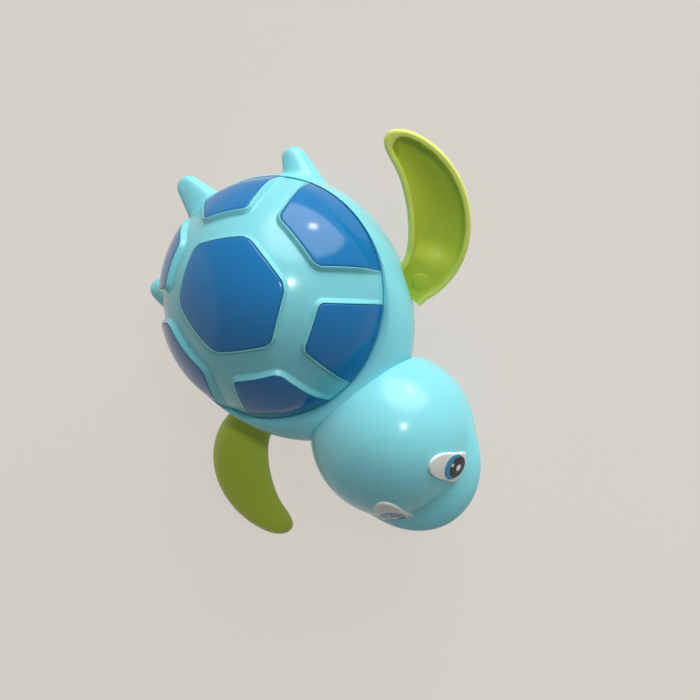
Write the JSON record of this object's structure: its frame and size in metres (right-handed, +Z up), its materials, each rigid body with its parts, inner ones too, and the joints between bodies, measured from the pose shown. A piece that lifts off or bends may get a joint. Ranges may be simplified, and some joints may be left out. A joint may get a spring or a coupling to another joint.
{
  "type": "clockwork bath toy turtle",
  "caption": "Swimming bath toy turtle: domed shell with inset plates, round head, and two hollow flippers on one shaft driven by a sealed clockwork.",
  "frame": {"origin": "centre of the flat belly face that the toy stands on", "axes": "+X to the turtle's left, -Y the way the head points, +Z up"},
  "size_m": [0.114, 0.1155, 0.0586],
  "materials": {
    "turquoise_shell": "glossy moulded turquoise plastic",
    "blue_plates": "polished blue moulded plastic",
    "lime_flippers": "satin lime green moulded plastic",
    "white_eyes": "glossy white moulded plastic",
    "steel": "bright turned steel",
    "spring_steel": "blued spring strip",
    "acetal": "natural acetal",
    "gearbox_grey": "grey moulded plastic"
  },
  "bodies": {
    "hull": {"carapace": "turquoise_shell", "scute_liner": "blue_plates", "upper_body": "turquoise_shell", "lower_body": "turquoise_shell", "head_ball": "turquoise_shell", "muzzle": "turquoise_shell", "left_eye": "white_eyes", "right_eye": "white_eyes", "left_bush": "acetal", "right_bush": "acetal", "idler_pin": "steel", "mainspring": "spring_steel", "gearbox_base": "gearbox_grey", "gearbox_cover": "gearbox_grey", "gearbox_screw_1": "steel", "gearbox_screw_2": "steel", "gearbox_screw_3": "steel", "foot_screw_right": "steel", "foot_screw_left": "steel", "belly_screw_1": "steel", "belly_screw_2": "steel", "belly_screw_3": "steel", "belly_screw_4": "steel"},
    "flippers": {"left_flipper": "lime_flippers", "right_flipper": "lime_flippers", "flipper_shaft": "steel", "shaft_pinion": "acetal"},
    "idler": {"idler_gear": "acetal"},
    "main_wheel": {"main_gear": "acetal", "spring_arbor": "steel"}
  },
  "joints": [
    {"name": "flipper_spin", "type": "hinge", "parent": "hull", "child": "flippers", "pos_m": [0, -0.0183, 0.0192], "axis": [1, 0, 0], "continuous": true},
    {"name": "idler_spin", "type": "hinge", "parent": "hull", "child": "idler", "pos_m": [0, -0.0054, 0.02464], "axis": [1, 0, 0], "continuous": true},
    {"name": "main_spin", "type": "hinge", "parent": "hull", "child": "main_wheel", "pos_m": [0, 0.00975, 0.0192], "axis": [1, 0, 0], "continuous": true}
  ],
  "couplings": [
    {"joint": "idler_spin", "follows": "flipper_spin", "ratio": -0.42857},
    {"joint": "main_spin", "follows": "flipper_spin", "ratio": 0.15126}
  ]
}
